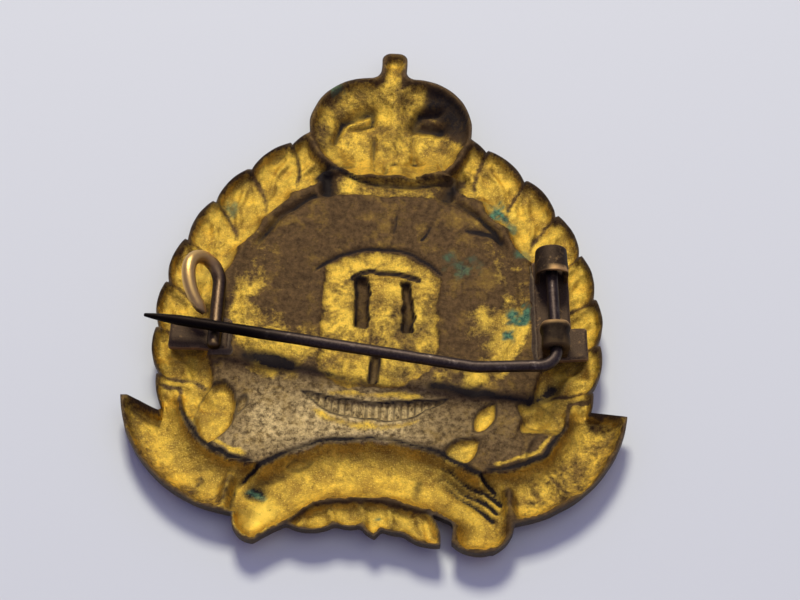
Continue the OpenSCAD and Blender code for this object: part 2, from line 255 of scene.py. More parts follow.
# strokes on the back, each with its two ends and its width
SLITS_LEFT = (
    (-5.3, 16.6, -4.75, 18.7, 0.26), (-4.7, 18.9, -3.3, 19.9, 0.42), (-3.3, 19.95, -1.9, 20.35, 0.5),
    (-3.9, 18.45, -1.9, 18.9, 0.3), (-1.85, 20.3, -1.8, 19.0, 0.36),
)
SLITS_RIGHT = ((2.3, 18.75, 4.7, 18.5, 0.55), (2.9, 20.3, 4.5, 20.3, 0.45), (2.7, 20.2, 2.2, 18.8, 0.45))
SLIT_BARS = ((-4.1, 18.95, -2.2, 19.55, 0.17), (3.4, 19.8, 4.8, 18.95, 0.2))
LOBE_LINES = (
    (-1.4, 13.2, -1.45, 17.1, 0.2), (2.3, 15.3, 2.2, 17.6, 0.18), (-5.2, 12.6, -3.1, 14.0, 0.22),
    (5.3, 12.7, 4.8, 14.6, 0.24), (0.9, 14.8, 0.35, 16.6, 0.12), (-0.4, 13.0, -0.3, 13.8, 0.2),
)
BAND_PITS = ((-6.0, 12.2, -5.5, 10.4, 0.9), (5.6, 10.0, 6.7, 12.2, 0.85))
ARM_CREASES = ((-14.6, -19.3, -16.4, -22.4, 0.3), (16.0, -18.0, 18.4, -20.6, 0.3))

# smudges and scratches, among them painted shade between the pillars and the pin's painted shadow across the
# belt, each with its two ends, its width and how dark it is
SMUDGES_AND_SHADOWS = (
    # the second stroke below is painted shade between the pillars' feet
    (2.3, -2.6, 2.7, -4.2, 0.55, 0.7), (0.9, -3.3, 2.0, -3.6, 0.45, 0.4),
    (-2.35, 1.0, -2.2, -3.6, 0.2, 0.75), (-1.9, -3.4, -1.6, -4.8, 0.3, 0.5),
    (-9.6, -19.6, -7.6, -18.9, 0.6, 0.5), (6.4, -18.2, 9.6, -20.2, 0.9, 0.4),
    # the strokes on the next two rows and the first on the third trace the pin's painted shadow across the
    # belt
    (-11.6, -7.4, -7.6, -8.4, 0.85, 0.85), (-7.6, -8.4, -2.8, -9.3, 0.4, 0.75),
    (5.2, -9.9, 8.8, -10.4, 0.6, 0.75), (8.8, -10.4, 13.8, -10.9, 0.55, 0.8),
    (13.8, -10.9, 15.9, -9.2, 0.75, 0.7), (4.6, -18.6, 4.2, -20.2, 0.6, 0.45),
    (1.15, 7.6, 1.0, 5.9, 0.22, 0.7), (4.1, 6.5, 3.4, 5.3, 0.2, 0.7), (-0.9, 6.9, -0.8, 6.1, 0.2, 0.4),
    (7.3, 2.6, 8.4, -0.4, 0.9, 0.45), (7.6, 6.4, 10.9, 5.6, 0.32, 0.9),
)

# leaf-shaped pockets in the ground: place, turn, length, width, depth and gilding
POCKETS = (
    (9.9, -12.9, 62.0, 3.4, 1.7, 0.5, 1.0), (8.0, -16.3, 35.0, 3.8, 2.2, 0.6, 1.0),
    (14.6, -12.2, -25.0, 4.6, 2.1, 0.7, 1.0), (-13.9, -13.4, 78.0, 6.8, 3.5, 0.9, 1.0),
    (-11.6, -12.7, 70.0, 2.2, 0.9, 0.5, 0.1), (14.9, -15.1, 50.0, 3.6, 1.6, 0.35, 0.1),
    (-6.2, -17.6, 20.0, 2.4, 0.7, 0.25, 0.3),
)

# green spots: place, radius and strength
GREEN_SPOTS = (
    (10.6, 9.2, 1.5, 1.0), (11.7, 7.6, 0.8, 0.7), (12.6, -2.4, 1.2, 1.0), (12.2, -4.6, 0.9, 1.0),
    (7.2, 2.3, 1.7, 0.5), (-9.8, -20.6, 0.6, 0.6), (1.2, -22.9, 0.7, 1.0), (-5.6, 21.2, 1.1, 0.6),
    (-14.6, 8.6, 1.0, 0.5), (13.2, 4.2, 0.9, 0.5),
)


def hollow(distance, reach):
    """A rounded pocket: 0 at its edge, 1 where it is deeper in than its reach."""
    t = np.clip(-distance / reach, 0.0, 1.0)
    return np.sqrt(1.0 - (1.0 - t) ** 2)


def marks(x, y, strokes):
    """Soft strokes along straight lines."""
    return np.maximum.reduce([bump(segment(x, y, *stroke[:4])[0], stroke[4]) for stroke in strokes])


class Struck:
    """The back of the sheet at many points: how deep it is struck, how gilded, with painted highlights, and
    how soiled, with painted shade.
    """

    def __init__(self, x, y):
        self.plain_x, self.plain_y = x, y
        self.x = x + 0.30 * cloud(x, y, 1.9, 31)
        self.y = y + 0.30 * cloud(x, y, 1.9, 47)
        self.ax = np.abs(self.x)
        self.patches, self.small = self.noise(3.2, 88), self.noise(1.8, 93)
        self.depth = 0.06 * self.noise(5.0, 3) + 0.05 * self.noise(0.9, 9)
        self.gilt = np.zeros_like(x)
        self.dirt_and_shade = np.zeros_like(x)
        self.dome_d = blend_min(dome(self.x, self.y), knob(self.x, self.y) + 0.1, KNOB_BLEND)
        self.band_d = band(self.x, self.y)
        self.in_crown = step(0.05, -0.5, self.dome_d)
        self.off_crown = step(0.0, 0.6, self.dome_d) * step(-0.1, 0.5, self.band_d)
        self.ring_r = np.hypot(self.x, self.y - RING_Y)

    def noise(self, size, seed):
        return cloud(self.plain_x, self.plain_y, size, seed)

    def brighten(self, amount):
        self.gilt = np.maximum(self.gilt, amount)

    def dull(self, amount):
        self.gilt = self.gilt * (1.0 - amount)

    def darken(self, amount):
        self.dirt_and_shade = np.maximum(self.dirt_and_shade, amount)

    def cover(self, mask, depth, gilt, dirt_and_shade):
        """Takes the place of what lay under a mask."""
        self.depth = self.depth * (1.0 - mask) + depth * mask
        self.gilt = self.gilt * (1.0 - mask) + gilt * mask
        self.dirt_and_shade = self.dirt_and_shade * (1.0 - mask) + dirt_and_shade * mask


def strike_wreath(s):
    """A shallow trough with deeper leaves, each with a raised rib and veins."""
    outer_d = disc(s.ax, s.y, -WREATH_X, WREATH_Y, WREATH_R)
    gate = s.off_crown * step(RING_R - 0.3, RING_R + 0.6, s.ring_r) * step(-15.0, -12.4, s.y)
    leaves = np.zeros_like(s.x)
    lines = np.zeros_like(s.x)
    for i, d, u, v in leaf_layers(s.x, s.y):
        pocket = hollow(d, 1.4) * (1.30 + 0.12 * math.sin(i * 2.1))
        rib = 0.28 * bump(v + 0.15 * np.sin(1.7 * u + i), 0.28) * step(-4.2, -2.0, u - LEAF_L / 2 + 3.0)
        veins = 0.10 * np.cos(2.4 * (u - 1.1 * np.abs(v))) * step(0.2, 0.6, np.abs(v))
        leaves = np.maximum(leaves, np.where(d < 0.0, pocket - rib - veins, 0.0))
        lines = np.maximum(lines, bump(d, 0.26) * step(-1.5, 2.0, u))
    struck = np.maximum(0.55 * step(-5.2, -4.2, outer_d) * gate, leaves * gate)
    s.depth += struck + 0.10 * s.noise(1.4, 19) * step(0.3, 0.8, struck)
    s.brighten(step(0.2, 0.75, struck + 0.25 * s.patches))
    s.dull(0.75 * lines * gate)
    s.darken(0.42 * lines * gate * (0.8 + s.patches))


def strike_ring(s):
    """Dark struck lines round a flat belt, which is gilded in patches at its sides; the outer line is darker
    along its upper half, and the arch line's dark is painted shade.
    """
    around = np.degrees(np.arctan2(s.y - RING_Y, s.x))
    upper = step(22, 34, around) * step(162, 146, around)
    outer = bump(s.ring_r - RING_R + 0.1, 0.30) * np.maximum(upper, 0.3)
    outer *= s.off_crown * step(-13.0, -9.0, s.y)
    # the arch line's dark is painted shade on the upper wall of the centre's hollow
    arch = bump(disc(s.x, s.y, FIELD_X, FIELD_Y, FIELD_R + 0.2), 0.2) * step(1.0, 1.9, s.y)
    s.depth += 0.5 * outer + 0.25 * arch
    s.darken(np.maximum(outer * (0.75 + 0.5 * s.patches), arch * 0.9))
    belt = step(CENTRE_R, CENTRE_R + 0.8, s.ring_r) * step(RING_R, RING_R - 0.8, s.ring_r)
    sides = step(4.5, -3.0, s.y) * step(3.5, 8.0, s.ax) * step(-11.5, -9.0, s.y)
    margin = step(RING_R - 2.6, RING_R - 1.4, s.ring_r) * step(9.5, 4.0, s.y) * step(-10.5, -8.5, s.y)
    within = step(RING_R + 1.4, RING_R, s.ring_r)
    mottle = -0.05 + 0.34 * sides + 0.28 * margin + (0.45 * s.patches + 0.40 * s.small) * (0.42 + sides)
    s.brighten(np.maximum(belt, margin * s.off_crown) * mottle * within)
    s.depth += 0.12 * margin * within


def strike_centre(s):
    """The gilt field inside the ring, arched at its top and ragged below."""
    column = block(s.x, s.y, 0.15, -2.5, 5.4, 8.0, 0.6)
    ragged = 0.35 * s.noise(1.3, 79) * step(2.2, 0.5, s.y)
    field = hollow(np.maximum(disc(s.x, s.y, FIELD_X, FIELD_Y, FIELD_R), column) + ragged, 0.9)
    s.depth += 0.42 * field + 0.05 * s.noise(1.1, 71) * field
    s.brighten(step(0.1, 0.8, field) * (0.78 + 0.5 * s.noise(2.6, 77)))


def strike_device(s):
    """Two pillars under a bowed lintel with a painted highlight line below it, and a lower shaft; the cuts
    are dark with tarnish and painted shade.
    """
    x, y = s.x, s.y
    rough = 0.22 * s.noise(0.7, 83)
    left = block(x + 0.05 * y + rough, y, -1.75, -1.4, 0.62, 2.6, 0.2)
    right = block(x + 0.09 * (y + 1.0) + 1.6 * rough, y, 2.4, -1.6, 0.48, 2.6, 0.25)
    shaft = block(x - 0.06 * (y + 8.0), y, -0.1, -8.15, 0.42, 1.5, 0.2)
    lintel_y = 1.05 + 0.85 * (1.0 - ((x - 0.3) / 3.1) ** 2)
    lintel = np.maximum(np.abs(y - lintel_y) - 0.2, np.abs(x - 0.4) - 3.1)
    # the cuts are dark with tarnish and painted shade
    dark = np.zeros_like(x)
    for d, deep in ((left, 0.85), (right, 0.85), (shaft, 0.6), (lintel, 0.35)):
        cut = hollow(d, 0.45)
        s.depth += deep * cut
        dark = np.maximum(dark, step(-0.05, 0.3, cut))
        s.darken(0.75 * bump(d + 0.05, 0.16))
    # a painted highlight along the lit lower wall under the lintel
    light = bump(y - lintel_y + 0.62, 0.22) * step(2.0, 1.4, np.abs(x - 0.3))
    s.depth -= 0.15 * light
    s.dull(0.92 * dark)
    s.brighten(light)
    s.dirt_and_shade = np.maximum(s.dirt_and_shade * (1.0 - 0.8 * light), 0.30 * dark)


def strike_crown(s):
    """A deep dome with slits on each side of a rib, and a scalloped lower half."""
    x, y = s.x, s.y
    slits_l, slits_r = marks(x, y, SLITS_LEFT), marks(x, y, SLITS_RIGHT)
    bars, lobes = marks(x, y, SLIT_BARS), marks(x, y, LOBE_LINES)
    dents = np.maximum(*(bump(np.maximum(np.abs(x - at_x) * 1.3 + y - at_y, (at_y - y) * 1.6), wide)
                         for at_x, at_y, wide in ((0.45, 14.4, 0.45), (2.4, 14.9, 0.55))))
    rib = bump(x - 0.30 - 0.1 * np.sin(y), 0.95) * step(14.9, 17.4, y) * step(25.5, 23.0, y)
    arches = bump(disc(s.ax, y, DOME_GAP / 2, CROWN_Y, 4.4), 0.7) * step(0.5, 2.5, s.ax) * step(15.5, 17.5, y)
    swags = 0.18 * np.cos(2.3 * x + 0.6) * step(16.4, 15.0, y)
    deep = 0.85 * hollow(s.dome_d + 0.3, 0.8) + 1.05 * step(0.5, 3.2, -s.dome_d)
    deep += (0.55 * slits_l + 0.7 * slits_r) * (1.0 - 0.6 * bars)
    deep += 0.15 * arches - 0.50 * rib + 0.35 * lobes + 0.45 * dents + swags

    lower = 18.2 - 3.0 * step(4.6, 8.0, x)
    shade = step(1.6, 3.4, x - 0.7 * step(19.5, 22.0, y)) * step(-0.4, 0.6, y - lower)
    shade *= 0.9 + 0.5 * s.patches
    # the crown's lower part is lighter, a painted highlight on its lit lower wall, and its left wall darker
    shine = step(0.15, 0.75, deep + 0.3 * s.patches) * (0.72 + 0.3 * step(16.5, 14.5, y))
    shine *= 1.0 - 0.35 * step(-4.6, -6.6, x) * step(13.0, 15.0, y)
    shine = np.maximum(shine, 0.75 * step(0.95, 0.6, s.ax) * step(25.3, 24.7, y) * step(21.5, 22.5, y))
    # the slits' dark is painted shade in their deep recesses
    dark = np.maximum.reduce([0.9 * slits_l, 0.85 * slits_r, 0.62 * lobes, 0.8 * dents])
    dark = dark * (1.0 - 0.7 * bars) * (0.9 + 0.7 * s.patches)
    lip = 0.35 * bump(s.dome_d + 0.3, 0.3) * step(14.0, 12.5, y) * (1.0 + s.patches)
    dark = np.maximum.reduce([dark, 0.62 * shade * (1.0 - bars), lip])
    s.cover(s.in_crown, deep, shine * (1.0 - 0.85 * shade), dark)


def strike_band(s):
    """The band under the crown, with a line of painted shade over it and a pit at each end."""
    inside = step(0.1, -0.3, s.band_d) * (1.0 - s.in_crown)
    gilt = 0.62 * step(6.1, 3.6, s.ax) * (0.9 + 0.5 * s.patches)
    s.cover(inside, 0.2 + 0.6 * hollow(s.band_d, 1.0), gilt, s.dirt_and_shade)
    # painted shade on the upper wall of the band's hollow
    under = bump(s.y - 11.45 - 0.03 * (s.x - 1.5) ** 2, 0.3) * step(6.6, 5.4, s.ax)
    pits = marks(s.x, s.y, BAND_PITS)
    s.darken(np.maximum(0.62 * under * (1.0 + 0.8 * s.patches), pits * (0.8 + 0.5 * s.patches)))
    s.depth += 0.3 * under + 0.6 * pits
    s.dull(0.8 * pits)


def strike_scroll(s):
    """Broad rounded channels, with folds where the arms pass behind the ribbon."""
    x, y, ax = s.x, s.y, s.ax
    ribbon_d, spray_d = ribbon(x, y), sprays(x, y)
    arm_d, arm_ring, r = arm_arc(x, y, ARM_TO + 9.0)
    leaning = ax + 0.12 * (y + 21.0)
    fold = bump(leaning - 12.5, 0.5) * step(-26.0, -24.5, y) * step(-18.5, -20.0, y)
    creases = marks(x, y, ARM_CREASES)
    channel = np.maximum(1.9 * hollow(ribbon_d + 0.3, 2.6), 1.75 * hollow(arm_d + 0.3, 2.3))
    channel = channel * (1.0 - 0.75 * fold) - 0.25 * creases
    spray = 0.95 * hollow(spray_d + 0.1, 1.0) * step(-0.1, 0.35, ribbon_d)
    channel = np.maximum(channel, spray * (1.0 - 0.35 * bump(np.sin(1.25 * x + 0.25 * y), 0.4)))
    channel += 0.10 * s.noise(1.5, 23) * step(0.3, 0.9, channel)
    inside = step(0.15, -0.15, np.minimum.reduce([ribbon_d, arm_d, spray_d]))
    s.depth = s.depth * (1.0 - inside) + np.maximum(channel, s.depth * step(-12.6, -11.0, y)) * inside

    s.gilt = np.maximum(s.gilt * (1.0 - inside), step(0.1, 0.65, channel + 0.2 * s.patches) * inside)
    s.dull(0.85 * fold)
    s.dull(0.4 * creases)
    outer_side = step(ARM_R - 2.6, ARM_R - 0.6, r) * step(-11.0, -13.0, y) * step(9.0, 12.0, ax)
    s.dull(0.38 * outer_side * (1.0 + s.patches))
    right_arm = step(12.5, 14.5, x) * step(-10.0, -13.0, y) * step(0.5, 2.5, -arm_ring)
    s.dull(0.5 * right_arm * (0.9 + s.patches))

    uneven = r - ARM_R + ARM_W + 0.16 * s.noise(0.8, 141)
    top_edge = disc(x, y, 0.0, RIBBON_LOW + RIBBON_H, RIBBON_R)
    # painted shade along the upper inner walls of the ribbon and the arms
    top_wall_shade = bump(top_edge + 0.05, 0.27) * step(11.9, 10.9, ax)
    inner_wall_shade = bump(uneven, 0.28) * step(-12.2, -13.4, y) * step(9.6, 10.8, ax)
    fold_line = bump(leaning - 11.7, 0.2) * step(-24.6, -23.4, y) * step(-18.8, -20.0, y)
    dark_lines = np.maximum.reduce([top_wall_shade, inner_wall_shade, 0.55 * fold_line])
    s.darken(dark_lines * (0.85 + 0.4 * s.patches))
    ridge = bump(top_edge + 0.62, 0.25) * step(11.0, 9.6, ax)
    lip_line = bump(uneven + 0.62, 0.22) * step(-12.8, -14.0, y) * step(10.2, 11.4, ax)
    s.depth += 0.25 * dark_lines - 0.12 * lip_line - 0.12 * ridge
    # the third term here is a painted highlight on the ribbon's left end
    s.brighten(np.maximum.reduce([ridge, lip_line, 0.9 * bump(np.hypot(x + 9.6, y + 22.0), 2.6)]))
    s.darken(0.45 * bump(ribbon_d, 0.3) * step(-19.0, -21.0, y) * step(8.5, 7.0, ax))


def strike_lens(s):
    """The hatched hollow above the ribbon, with a painted highlight strip over it and a bright strip under
    it.
    """
    low_d = disc(s.x, s.y, *LENS_LOW)
    lens_d = np.maximum(low_d, -disc(s.x, s.y, *LENS_TOP))
    inside = step(0.08, -0.25, lens_d)
    hatch = 0.5 + 0.5 * np.cos(s.plain_x * 2.0 * math.pi / HATCH_PITCH)
    s.depth += inside * (0.3 + 0.22 * hatch)
    s.darken(np.maximum(0.72 * bump(lens_d, 0.17), 0.55 * inside * hatch))
    # a painted highlight on the lit lower wall of the centre
    s.brighten(0.75 * bump(s.y + 11.1, 0.35) * step(5.0, 3.5, s.ax))
    s.brighten(0.75 * bump(low_d - 0.6, 0.4) * step(-12.2, -13.0, s.y) * step(5.2, 3.0, s.x))


def strike_marks(s):
    """Small pockets, three cuts on the ribbon, a pit, and smudges and scratches, with painted shade and the
    pin's painted shadow.
    """
    for cx, cy, turn, length, width, deep, shine in POCKETS:
        d = almond(*turned(s.x, s.y, cx, cy, turn), length, width)
        pocket = hollow(d, 0.7)
        s.depth = np.maximum(s.depth, deep * pocket)
        s.brighten(shine * step(0.2, 0.8, pocket))
        s.darken(0.5 * bump(d, 0.22))
    for k in range(3):
        low = -0.78 * k
        d, along = segment(s.plain_x, s.plain_y + 0.12 * np.sin(1.6 * s.plain_x + k),
                           6.4 + 0.25 * k, low - 17.5, 11.6 - 0.3 * k, low - 20.5)
        cut = bump(d, 0.2 + 0.08 * along)
        s.depth += 0.3 * cut
        s.darken(cut * (0.55 + 0.45 * along))
    pit = bump(np.hypot(s.x + 9.9, (s.y + 20.4) * 1.5), 1.3)
    s.depth += 0.35 * pit
    s.darken(0.8 * pit)
    # some of these strokes are painted shade and the pin's painted shadow
    for *stroke, dark in SMUDGES_AND_SHADOWS:
        dark_stroke = dark * marks(s.x, s.y, [stroke])
        s.depth += 0.2 * dark_stroke
        s.darken(dark_stroke * (0.9 + 0.6 * s.patches))


def relief(x, y):
    """How deep the back is struck at each point, and its masks of gilding with painted highlights, and of
    grime with painted shade.
    """
    s = Struck(x, y)
    for strike in (strike_wreath, strike_ring, strike_centre, strike_device, strike_crown, strike_band,
                   strike_scroll, strike_lens, strike_marks):
        strike(s)
    # the rim is rolled down a little, and dull; over 1, the gilding mask holds a painted highlight on the
    # ribbon's left end
    edge = outline(x, y)
    off_rim = step(-0.06, -0.30, edge)
    depth = np.maximum(s.depth, -0.05) * step(0.0, -0.32, edge + 0.06) + 0.18 * bump(edge, 0.16)
    painted_highlight = 1.4 * bump(np.hypot(s.x + 9.3, s.y + 21.9), 3.4)
    painted_highlight = painted_highlight * (0.9 + 0.5 * s.patches + 0.4 * s.small) * (1.0 - s.dirt_and_shade)
    gilt = np.maximum(s.gilt, painted_highlight) * off_rim
    return depth, np.clip(gilt, 0.0, MOST_GILT_AND_HIGHLIGHT), np.clip(s.dirt_and_shade, 0.0, 1.0)


def rubbed_mask(x, y):
    """Where the flat ground is rubbed to a pale tan, round the hatched hollow."""
    near = bump((y + 14.2) / 3.6, 1.0) * bump((x + 4.2) / 10.5, 1.0)
    near = np.maximum(near, 0.8 * step(0.3, -0.2, disc(x, y, *LENS_LOW)) * step(-11.6, -12.2, y))
    return np.clip(1.3 * near * (0.9 + 0.6 * cloud(x, y, 2.4, 131)), 0.0, 1.0)


def verdigris(x, y):
    """Crusty green spots with ragged edges."""
    total = np.zeros_like(x)
    wx, wy = x + 0.8 * cloud(x, y, 1.3, 63), y + 0.8 * cloud(x, y, 1.3, 67)
    crust = 0.5 + 0.9 * cloud(x, y, 0.7, 61)
    for cx, cy, r, strength in GREEN_SPOTS:
        near = bump(np.hypot(wx - cx, (wy - cy) * 1.2), r)
        total = np.maximum(total, strength * step(0.25, 0.75, near * crust * 1.6))
    return total


# ---- settings

def colour(name, description, default):
    return FloatVectorProperty(
        name=name, description=description, default=default, min=0.0, max=1.0, subtype="COLOR")


class ShellSettings(bpy.types.PropertyGroup):
    cell: FloatProperty(
        name="Cell", description="Size of one face of the struck sheet", default=0.2 * MM,
        min=0.1 * MM, max=1.0 * MM, unit="LENGTH")
    sheet: FloatProperty(
        name="Sheet", description="Thickness of the struck sheet", default=0.8 * MM,
        min=0.4 * MM, max=1.2 * MM, unit="LENGTH")
    # the gold of the gilding, also painted as highlights
    gilt: colour("Gilt", "Colour of the bright gilding", (0.82, 0.54, 0.065))
    ochre: colour("Ochre", "Colour of dulled gilding", (0.36, 0.215, 0.035))
    tarnish: colour("Tarnish", "Colour of the brown flat ground", (0.112, 0.064, 0.021))
    # the dark of the grime in struck lines, also painted as shade in hollows and as the pin's shadow
    soot: colour("Soot", "Colour of the dirt in struck lines", (0.018, 0.012, 0.008))
    green: colour("Verdigris", "Colour of the green spots", (0.13, 0.28, 0.13))


class FittingSettings(bpy.types.PropertyGroup):
    patina: colour("Patina", "Colour of the old brass of the hinge and the plates", (0.036, 0.024, 0.014))
    worn: colour("Worn brass", "Colour of the brass where it is rubbed bright", (0.55, 0.34, 0.13))
    wire: colour("Pin wire", "Colour of the pin's dark skin", (0.036, 0.026, 0.02))
    hook: colour("Hook wire", "Colour of the hook", (0.12, 0.078, 0.045))
    solder: colour("Solder", "Colour of the soft solder", (0.070, 0.048, 0.026))


class StageSettings(bpy.types.PropertyGroup):
    elevation: FloatProperty(
        name="Elevation", description="Height angle of the camera", default=math.radians(60.0),
        subtype="ANGLE")
    azimuth: FloatProperty(
        name="Azimuth", description="Turn of the camera to the right", default=math.radians(2.9),
        subtype="ANGLE")
    distance: FloatProperty(
        name="Distance", description="From the camera to the badge", default=0.240, unit="LENGTH")
    lens: FloatProperty(
        name="Lens", description="Focal length in millimetres", default=119.3, min=20.0, max=300.0)
    key: FloatProperty(
        name="Key light", description="Power of the main light", default=3.7, min=0.0, unit="POWER")
    fill: FloatProperty(
        name="Fill", description="Strength of the sky", default=0.34, min=0.0)
    floor: colour("Floor", "Colour of the floor", (0.67, 0.69, 0.635))


# ---- materials

# tones that stay the same whatever the settings
RUBBED, OLIVE, AGED = (0.76, 0.57, 0.23), (0.30, 0.22, 0.045), (0.36, 0.225, 0.035)
# the middle tone below is the gold of a painted highlight
GLINT, HIGHLIGHT_GOLD, RIM_BROWN = (1.0, 0.74, 0.13), (1.0, 0.70, 0.10), (0.080, 0.064, 0.044)
# the middle tone below darkens the fittings where their meshes ask
DEEP_GREEN, WIRE_DARKENING, WORN_SOLDER = (0.02, 0.06, 0.045), (0.007, 0.005, 0.004), (0.26, 0.19, 0.09)
WORN_PIN, WORN_HOOK = (0.34, 0.27, 0.20), (0.72, 0.46, 0.14)


class Finish:
    """A short way to lay out one material's nodes."""

    def __init__(self, name):
        self.material = bpy.data.materials.new(name)
        self.material.use_nodes = True
        self.tree = self.material.node_tree
        self.shader = self.tree.nodes["Principled BSDF"]
        self.coords = self.tree.nodes.new("ShaderNodeTexCoord").outputs["Object"]

    def node(self, kind, inputs=(), **settings):
        made = self.tree.nodes.new(kind)
        for key, value in settings.items():
            setattr(made, key, value)
        for key, value in dict(inputs).items():
            self.put(made.inputs[key], value)
        return made

    def put(self, socket, value):
        if isinstance(value, bpy.types.NodeSocket):
            self.tree.links.new(value, socket)
        elif socket.type == "RGBA":
            socket.default_value = (*value, 1.0)
        else:
            socket.default_value = value

    def attribute(self, name):
        return self.node("ShaderNodeAttribute", attribute_name=name).outputs["Fac"]

    def noise(self, per_mm, detail, rough):
        return self.node("ShaderNodeTexNoise", {
            "Vector": self.coords, "Scale": per_mm / MM, "Detail": detail, "Roughness": rough}).outputs["Fac"]

    def ramp(self, value, *stops):
        """A grey ramp between two stops, each a place and a level."""
        made = self.node("ShaderNodeValToRGB", {"Fac": value})
        for point, (place, level) in zip(made.color_ramp.elements, stops):
            point.position = place
            point.color = (level, level, level, 1.0)
        return made.outputs["Color"]

    def mix(self, factor, a, b):
        made = self.node("ShaderNodeMix", data_type="RGBA")
        self.put(made.inputs[0], factor)
        self.put(made.inputs[6], a)
        self.put(made.inputs[7], b)
        return made.outputs[2]

    def maths(self, kind, a, b, clamp=False):
        made = self.node("ShaderNodeMath", operation=kind, use_clamp=clamp)
        self.put(made.inputs[0], a)
        self.put(made.inputs[1], b)
        return made.outputs[0]

    def sway(self, value, noises):
        """A value that each noise moves up and down by its share."""
        for noise, share in noises:
            shift = self.maths("MULTIPLY", self.maths("SUBTRACT", noise, 0.5), share)
            value = self.maths("ADD", value, shift)
        return value

    def relief(self, height, strength, distance_mm, under=None):
        inputs = {"Height": height, "Strength": strength, "Distance": distance_mm * MM}
        if under is not None:
            inputs["Normal"] = under
        return self.node("ShaderNodeBump", inputs).outputs["Normal"]


def times(colour, factor):
    return [factor * v for v in colour]


def shell_material(settings):
    f = Finish("struck gilding brass")
    gilt, groove, green = f.attribute("gilt"), f.attribute("groove"), f.attribute("verdigris")
    edge, rubbed = f.attribute("rim"), f.attribute("rubbed")
    wide = f.noise(0.16, 4.0, 0.6)
    coarse = f.noise(0.5, 6.0, 0.7)
    fine = f.noise(2.1, 6.0, 0.78)
    grain = f.noise(7.0, 3.0, 0.6)

    patchy = f.sway(gilt, ((coarse, 1.5), (fine, 1.2)))
    bright = f.ramp(patchy, (0.28, 0.0), (0.82, 1.0))
    tarnish = settings.tarnish
    brown = f.mix(f.ramp(fine, (0.38, 0.0), (0.64, 1.0)), times(tarnish, 0.55), times(tarnish, 1.5))
    brown = f.mix(f.ramp(coarse, (0.50, 0.0), (0.66, 0.55)), brown, settings.ochre)
    rubbed = f.maths("MULTIPLY", rubbed, f.ramp(fine, (0.40, 0.1), (0.60, 1.0)))
    brown = f.mix(rubbed, brown, RUBBED)
    gold = f.mix(f.ramp(coarse, (0.40, 1.0), (0.60, 0.0)), settings.gilt, settings.ochre)
    gold = f.mix(f.ramp(wide, (0.56, 0.0), (0.70, 0.5)), gold, OLIVE)
    gold = f.mix(f.ramp(fine, (0.42, 0.45), (0.54, 0.0)), gold, AGED)
    gold = f.mix(f.ramp(grain, (0.54, 0.0), (0.70, 0.7)), gold, GLINT)
    # over 1, the gilding mask is a painted highlight in the brightest gold
    painted_highlight = f.maths("MULTIPLY", f.maths("SUBTRACT", gilt, 1.0, clamp=True), 1.6, clamp=True)
    gold = f.mix(painted_highlight, gold, HIGHLIGHT_GOLD)
    colour = f.mix(bright, brown, gold)
    # grime in struck lines, with painted shade in hollows and the pin's painted shadow
    dirt_and_shade = f.sway(groove, ((fine, 1.1), (coarse, 0.6)))
    darkened = f.ramp(dirt_and_shade, (0.26, 0.0), (0.72, 1.0))
    colour = f.mix(darkened, colour, settings.soot)
    speck = f.ramp(f.noise(2.4, 5.0, 0.8), (0.58, 0.0), (0.70, 0.75))
    colour = f.mix(speck, colour, times(tarnish, 0.45))
    colour = f.mix(f.maths("MULTIPLY", edge, 0.8), colour, RIM_BROWN)
    tint = f.mix(f.ramp(fine, (0.4, 0.0), (0.6, 1.0)), settings.green, DEEP_GREEN)
    colour = f.mix(green, colour, tint)

    dull = f.mix(bright, (0.60,) * 3, (0.40,) * 3)
    dull = f.mix(f.ramp(grain, (0.4, 0.0), (0.7, 1.0)), dull, (0.55,) * 3)
    dull = f.mix(darkened, dull, (0.75,) * 3)
    dull = f.mix(green, dull, (0.9,) * 3)
    metal = f.mix(green, f.mix(darkened, f.mix(bright, (0.65,) * 3, (1.0,) * 3), (0.3,) * 3), (0.0,) * 3)
    f.put(f.shader.inputs["Base Color"], colour)
    f.put(f.shader.inputs["Roughness"], dull)
    f.put(f.shader.inputs["Metallic"], metal)
    f.shader.inputs["Specular IOR Level"].default_value = 0.25
    normal = f.relief(coarse, 0.5, 0.22)
    normal = f.relief(fine, 0.9, 0.16, normal)
    normal = f.relief(grain, 0.7, 0.06, normal)
    f.put(f.shader.inputs["Normal"], normal)
    return f.material


def patina_material(name, skin, worn, rough, metallic=1.0, per_mm=0.9):
    """Old metal with a dark skin that is rubbed through in patches, on edges and where its mesh says."""
    f = Finish(name)
    coarse = f.noise(per_mm, 5.0, 0.65)
    fine = f.noise(per_mm * 5.0, 4.0, 0.7)
    edges = f.node("ShaderNodeNewGeometry").outputs["Pointiness"]
    edges = f.ramp(edges, (0.52, 0.0), (0.60, 0.7))
    patches = f.ramp(coarse, (0.58, 0.0), (0.75, 0.45))
    wear = f.maths("ADD", f.maths("ADD", edges, patches), f.attribute("wear"), clamp=True)
    skin_colour = f.mix(f.ramp(fine, (0.35, 0.0), (0.7, 1.0)), skin, times(skin, 2.2))
    # near-black where the mesh asks, through its attribute
    colour = f.mix(f.attribute("soot"), f.mix(wear, skin_colour, worn), WIRE_DARKENING)
    f.put(f.shader.inputs["Base Color"], colour)
    f.put(f.shader.inputs["Roughness"], f.mix(fine, (rough,) * 3, (min(rough + 0.25, 1.0),) * 3))
    f.shader.inputs["Metallic"].default_value = metallic
    normal = f.relief(coarse, 0.4, 0.12)
    f.put(f.shader.inputs["Normal"], f.relief(fine, 0.4, 0.03, normal))
    return f.material


# ---- meshes

def outward(bm):
    bmesh.ops.recalc_face_normals(bm, faces=bm.faces[:])


def smooth(bm):
    for face in bm.faces:
        face.smooth = True


def round_edges(bm, edges, offset):
    bmesh.ops.bevel(bm, geom=edges, offset=offset, offset_type="OFFSET", segments=3, profile=0.5,
                    affect="EDGES", material=-1)


